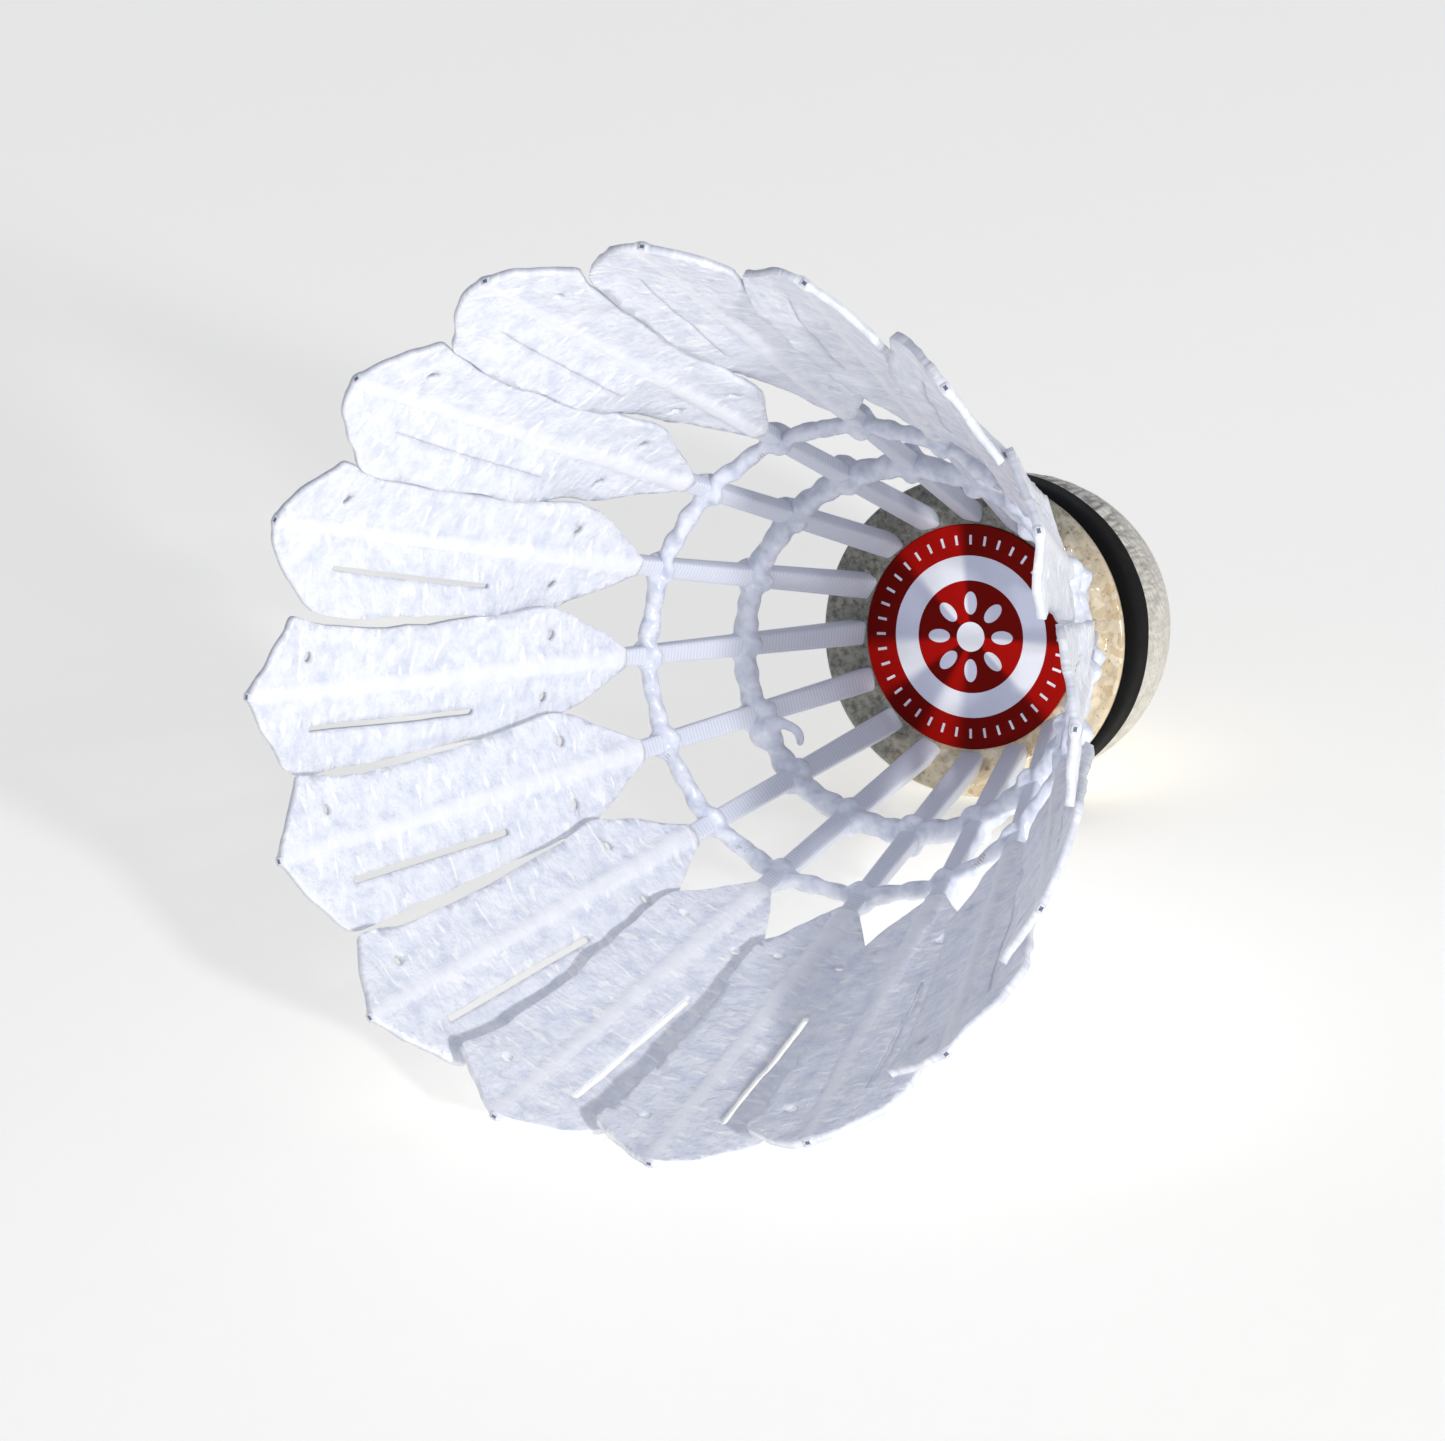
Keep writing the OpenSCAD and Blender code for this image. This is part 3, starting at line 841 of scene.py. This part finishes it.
def cork_material(finish, name, sealed):
    """Pressed cork: tan grains about 1 mm across with dark bark specks; sealed cork has a glue gloss and
    painted shade towards the left and the top.
    """
    gloss = dict(Roughness=0.42, Coat_Weight=0.9, Coat_Roughness=0.08) if sealed else dict(Roughness=0.8)
    material, tree, shader = new_material(name, IOR=1.45, **gloss)
    place = add(tree, "ShaderNodeTexCoord").outputs["Object"]
    warp = add(tree, "ShaderNodeTexNoise", Vector=place, Scale=700.0, Detail=3.0)
    shifted = add(tree, "ShaderNodeMixRGB", blend_type="LINEAR_LIGHT", Fac=0.0004, Color1=place,
                  Color2=warp.outputs["Color"])
    grains = add(tree, "ShaderNodeTexVoronoi", Vector=shifted, Scale=1100.0, feature="F1")
    tint = add(tree, "ShaderNodeSeparateColor", Color=grains.outputs["Color"])
    tan = add(tree, "ShaderNodeValToRGB", Fac=tint.outputs["Red"],
              stops=((0.0, linear("#CDB48A")), (1.0, finish.cork_light)))
    specks = add(tree, "ShaderNodeTexNoise", Vector=place, Scale=1900.0, Detail=4.0, Roughness=0.7)
    mask = add(tree, "ShaderNodeValToRGB", Fac=specks,
               stops=((0.3, (0.8, 0.8, 0.8, 1)), (0.42, (0, 0, 0, 1))))
    pressed = add(tree, "ShaderNodeMixRGB", None if sealed else shader["Base Color"],
                  Fac=mask, Color1=tan, Color2=finish.cork_dark)
    if sealed:
        # Painted shade: the cork's face is painted darker and greyer towards the left and the top, where
        # the right-hand feathers shade it
        toward_lit_side = Vector((0.8, 0.0, -0.6))
        low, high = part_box("label")
        centre = toward_lit_side.dot((low + high) / 2)
        side = add(tree, "ShaderNodeVectorMath", operation="DOT_PRODUCT", in0=place, in1=toward_lit_side)
        cloud = add(tree, "ShaderNodeTexNoise", Vector=place, Scale=260.0, Detail=3.0)
        patchy_shade_edge = add(tree, "ShaderNodeMath", operation="MULTIPLY_ADD", in0=cloud, in1=0.006,
                     in2=side.outputs["Value"])
        painted_shade = add(tree, "ShaderNodeMapRange", Value=patchy_shade_edge, From_Min=centre + 0.002,
                  From_Max=centre + 0.0105, To_Min=0.92, To_Max=0.0)
        shaded_cork = add(tree, "ShaderNodeValToRGB", Fac=specks,
                     stops=((0.38, linear("#4C4D46")), (0.56, finish.cork_in_painted_shade)))
        add(tree, "ShaderNodeMixRGB", shader["Base Color"], Fac=painted_shade, Color1=pressed, Color2=shaded_cork)
    add(tree, "ShaderNodeBump", shader["Normal"], Height=specks, Strength=0.4, Distance=0.0003)
    return material


def leather_material(finish):
    """Off-white coated leather: a fine pebbled grain about 0.5 mm across, with painted shade in its
    creases.
    """
    material, tree, shader = new_material("coated_leather", Roughness=0.55, IOR=1.5)
    place = add(tree, "ShaderNodeTexCoord").outputs["Object"]
    grain = add(tree, "ShaderNodeTexVoronoi", Vector=place, Scale=2200.0, feature="F1")
    soft = add(tree, "ShaderNodeTexNoise", Vector=place, Scale=900.0, Detail=4.0, Roughness=0.6)
    crease_shade = add(tree, "ShaderNodeAttribute", attribute_name="crease").outputs["Fac"]
    height = add(tree, "ShaderNodeMath", operation="MULTIPLY_ADD", in0=soft, in1=1.4, in2=grain)
    add(tree, "ShaderNodeBump", shader["Normal"], Height=height, Strength=0.7, Distance=0.00016)
    tone = add(tree, "ShaderNodeValToRGB", Fac=soft,
               stops=((0.36, linear("#D3CDBF")), (0.56, finish.leather)))
    # Painted shade: the creases are painted grey
    add(tree, "ShaderNodeMixRGB", shader["Base Color"], Fac=crease_shade, Color1=tone, Color2=linear("#77706A"))
    return material


def tape_material(finish):
    """Black plastic tape: dull satin, with faint scuffs."""
    material, tree, shader = new_material("black_tape", IOR=1.4, Specular_IOR_Level=0.06)
    place = add(tree, "ShaderNodeTexCoord").outputs["Object"]
    scuff = add(tree, "ShaderNodeTexNoise", Vector=place, Scale=600.0, Detail=5.0, Roughness=0.7)
    add(tree, "ShaderNodeMapRange", shader["Roughness"], Value=scuff, To_Min=0.5, To_Max=0.75)
    add(tree, "ShaderNodeValToRGB", shader["Base Color"], Fac=scuff,
        stops=((0.0, finish.band), (1.0, linear("#0D0D0C"))))
    add(tree, "ShaderNodeBump", shader["Normal"], Height=scuff, Strength=0.2, Distance=0.0001)
    return material


def foil_material(tint, shade, name, shine, gloss):
    """Printed metal foil: painted reflections, bright and dark fans of light spread from its middle, over
    faint creases.
    """
    material, tree, shader = new_material(name, Metallic=shine, Roughness=gloss, Anisotropic=0.6)
    place = add(tree, "ShaderNodeTexCoord").outputs["Object"]
    crease = add(tree, "ShaderNodeTexNoise", Vector=place, Scale=260.0, Detail=3.0)
    add(tree, "ShaderNodeBump", shader["Normal"], Height=crease, Strength=0.25, Distance=0.0004)
    add(tree, "ShaderNodeTangent", shader["Tangent"], direction_type="UV_MAP", uv_map="UVMap")
    # Painted reflection: three broad and five narrow fans to the turn, as a whole number of waves round the
    # label
    uv = add(tree, "ShaderNodeTexCoord").outputs["UV"]
    broad, narrow = [add(tree, "ShaderNodeTexWave", wave_type="BANDS", bands_direction="X", Vector=uv,
                         Scale=waves * math.tau / 20, Phase_Offset=phase).outputs["Fac"]
                     for waves, phase in ((3, 0.9), (5, 2.2))]
    painted_reflection_fans = add(tree, "ShaderNodeMath", operation="MULTIPLY", in0=broad, in1=narrow)
    ramp = add(tree, "ShaderNodeValToRGB", shader["Base Color"], Fac=painted_reflection_fans,
               stops=((0.12, shade), (0.45, tint)))
    ramp.color_ramp.interpolation = "EASE"
    return material


def floor_material(finish):
    """Opal board lit from below: pale, even, with a barely seen grain."""
    material, tree, shader = new_material("opal_board", Roughness=0.7, Emission_Strength=0.44)
    place = add(tree, "ShaderNodeTexCoord").outputs["Object"]
    grain = add(tree, "ShaderNodeTexNoise", Vector=place, Scale=300.0, Detail=2.0)
    tone = add(tree, "ShaderNodeMixRGB", shader["Base Color"], Fac=grain,
               Color1=finish.floor, Color2=[c * 0.985 for c in finish.floor[:3]] + [1])
    tree.links.new(tone.outputs["Color"], shader["Emission Color"])
    return material


# ---------------------------------------------------------------- stage


def make_floor(finish):
    """A wide pale floor under the object."""
    bm = bmesh.new()
    bmesh.ops.create_grid(bm, x_segments=1, y_segments=1, size=6.0)
    mesh = bpy.data.meshes.new("floor")
    bm.to_mesh(mesh)
    bm.free()
    mesh.materials.append(floor_material(finish))
    floor = add_object("floor", mesh)


def direction(azimuth, elevation):
    """Direction out from the object, given in degrees; azimuth 0 is in front, 90 to the right."""
    a, e = math.radians(azimuth), math.radians(elevation)
    return Vector((math.sin(a) * math.cos(e), -math.cos(a) * math.cos(e), math.sin(e)))


def make_lights():
    """A key light from the right that looks into the skirt, a soft panel ahead, and a pale surround."""
    world = bpy.data.worlds.new("studio")
    world.use_nodes = True
    world.node_tree.nodes["Background"].inputs["Color"].default_value = linear("#E4E9FA")
    world.node_tree.nodes["Background"].inputs["Strength"].default_value = 0.4
    bpy.context.scene.world = world
    bpy.context.scene.view_settings.view_transform = "Standard"
    add_lamp("key", back=direction(47, 11.3), size=0.045, power=3.6)
    add_lamp("front_panel", back=direction(-26, 9), size=0.3, power=0.25)


def add_lamp(name, back, size, power):
    """A square soft light 0.8 m away from the object and aimed at its middle."""
    low, high = CAD_BOX
    data = bpy.data.lights.new(name, "AREA")
    data.size = size
    data.energy = power
    lamp = add_object(name, data)
    lamp.location = (low + high) / 2 + back * 0.8
    lamp.rotation_euler = back.to_track_quat("Z", "Y").to_euler()


def make_camera():
    """A long lens that looks into the skirt from the front right, a little above the table."""
    low, high = CAD_BOX
    back = direction(27.29, 21.0)
    roll = Matrix.Rotation(math.radians(-7.89), 3, "Z")
    aim = (low + high) / 2 + Vector((-7.63, -8.97, -11.64)) * MM
    data = bpy.data.cameras.new("camera")
    data.lens = 129.0
    data.sensor_width = 36.0
    camera = add_object("camera", data)
    camera.location = aim + back * 0.39675
    camera.rotation_euler = (back.to_track_quat("Z", "Y").to_matrix() @ roll).to_euler()
    bpy.context.scene.camera = camera


# ---------------------------------------------------------------- operators and panel


class SHUTTLE_OT_vanes(bpy.types.Operator):
    """Make the sixteen foam vanes"""

    bl_idname = "shuttle.vanes"
    bl_label = "Foam vanes"

    def execute(self, context):
        skirt = context.scene.shuttle_skirt
        foam = foam_material(context.scene.shuttle_finish)
        for number in range(1, skirt.count + 1):
            make_vane(skirt, number, foam)
        return {"FINISHED"}


class SHUTTLE_OT_shafts(bpy.types.Operator):
    """Make the sixteen nylon shafts"""

    bl_idname = "shuttle.shafts"
    bl_label = "Shafts"

    def execute(self, context):
        skirt, finish = context.scene.shuttle_skirt, context.scene.shuttle_finish
        nylon, carbon = nylon_material(finish), carbon_material(finish)
        for number in range(1, skirt.count + 1):
            make_shaft(skirt, number, nylon, carbon)
        return {"FINISHED"}


class SHUTTLE_OT_thread_rings(bpy.types.Operator):
    """Make the two thread rings and their resin"""

    bl_idname = "shuttle.thread_rings"
    bl_label = "Thread rings"

    def execute(self, context):
        scene = context.scene
        skirt, rings = scene.shuttle_skirt, scene.shuttle_rings
        cotton, resin = thread_material(scene.shuttle_finish), resin_material(scene.shuttle_finish)
        # The inner ring is wound looser and coated twice as thick as the outer one
        for name, at, looser, coats, drip in (("outer", rings.outer_at, 1, 1, None),
                                              ("inner", rings.inner_at, 1.25, 2, hooked_drip)):
            radius, spread = rings.thread_d / 2, rings.spread * looser
            make_thread(skirt, at, f"thread_{name}", radius, spread, cotton)
            make_resin(skirt, at, f"resin_{name}", radius + rings.coat_t * coats, spread, resin, drip)
        return {"FINISHED"}


class SHUTTLE_OT_base(bpy.types.Operator):
    """Finish the cork and make the leather cover, the band and the glue over the cork's face"""

    bl_idname = "shuttle.base"
    bl_label = "Cork base"

    def execute(self, context):
        scene = context.scene
        skirt, base, finish = scene.shuttle_skirt, scene.shuttle_base, scene.shuttle_finish
        for node in ("cork_upper", "cork_nose"):
            mesh = frame["nodes"][node].data
            mesh.materials.clear()
            mesh.materials.append(cork_material(finish, f"pressed_{node}", sealed=False))
        make_cover(skirt, base, leather_material(finish))
        make_band(skirt, base, tape_material(finish))
        make_glue(skirt, base, cork_material(finish, "glue_sealed_cork", sealed=True))
        return {"FINISHED"}


class SHUTTLE_OT_label(bpy.types.Operator):
    """Make the foil label"""

    bl_idname = "shuttle.label"
    bl_label = "Foil label"

    def execute(self, context):
        finish = context.scene.shuttle_finish
        red = foil_material(finish.red_foil, finish.red_shade, "red_foil", 1.0, 0.36)
        silver = foil_material(finish.silver_foil, finish.silver_shade, "silver_foil", 0.55, 0.3)
        make_label(context.scene.shuttle_skirt, context.scene.shuttle_base, red, silver)
        return {"FINISHED"}


class SHUTTLE_OT_stage(bpy.types.Operator):
    """Make the floor, the lights and the camera"""

    bl_idname = "shuttle.stage"
    bl_label = "Stage"

    def execute(self, context):
        make_floor(context.scene.shuttle_finish)
        make_lights()
        make_camera()
        return {"FINISHED"}


class SHUTTLE_PT_panel(bpy.types.Panel):
    """Lists the shuttlecock's sizes, colours and pieces in the sidebar"""

    bl_idname = "SHUTTLE_PT_panel"
    bl_label = "Shuttlecock"
    bl_space_type = "VIEW_3D"
    bl_region_type = "UI"
    bl_category = "Shuttlecock"

    def draw(self, context):
        for name, group in GROUPS.items():
            box = self.layout.box()
            for size in group.__annotations__:
                box.prop(getattr(context.scene, name), size)
        for operator in OPERATORS:
            self.layout.operator(operator.bl_idname)


GROUPS = {"shuttle_skirt": SkirtSizes, "shuttle_rings": RingSizes, "shuttle_base": BaseSizes,
          "shuttle_finish": Finishes}
OPERATORS = (SHUTTLE_OT_vanes, SHUTTLE_OT_shafts, SHUTTLE_OT_thread_rings, SHUTTLE_OT_base,
             SHUTTLE_OT_label, SHUTTLE_OT_stage)


def register():
    """Registers the classes and puts the property groups on the scene."""
    for cls in (*GROUPS.values(), *OPERATORS, SHUTTLE_PT_panel):
        bpy.utils.register_class(cls)
    for name, group in GROUPS.items():
        setattr(bpy.types.Scene, name, PointerProperty(type=group))


def unregister():
    """Takes the property groups off the scene and unregisters the classes."""
    for name in GROUPS:
        delattr(bpy.types.Scene, name)
    for cls in reversed((*GROUPS.values(), *OPERATORS, SHUTTLE_PT_panel)):
        bpy.utils.unregister_class(cls)


def main():
    """Makes the shuttlecock piece by piece."""
    register()
    bpy.ops.shuttle.vanes()
    bpy.ops.shuttle.shafts()
    bpy.ops.shuttle.thread_rings()
    bpy.ops.shuttle.base()
    bpy.ops.shuttle.label()
    bpy.ops.shuttle.stage()


if __name__ == "__main__":
    main()
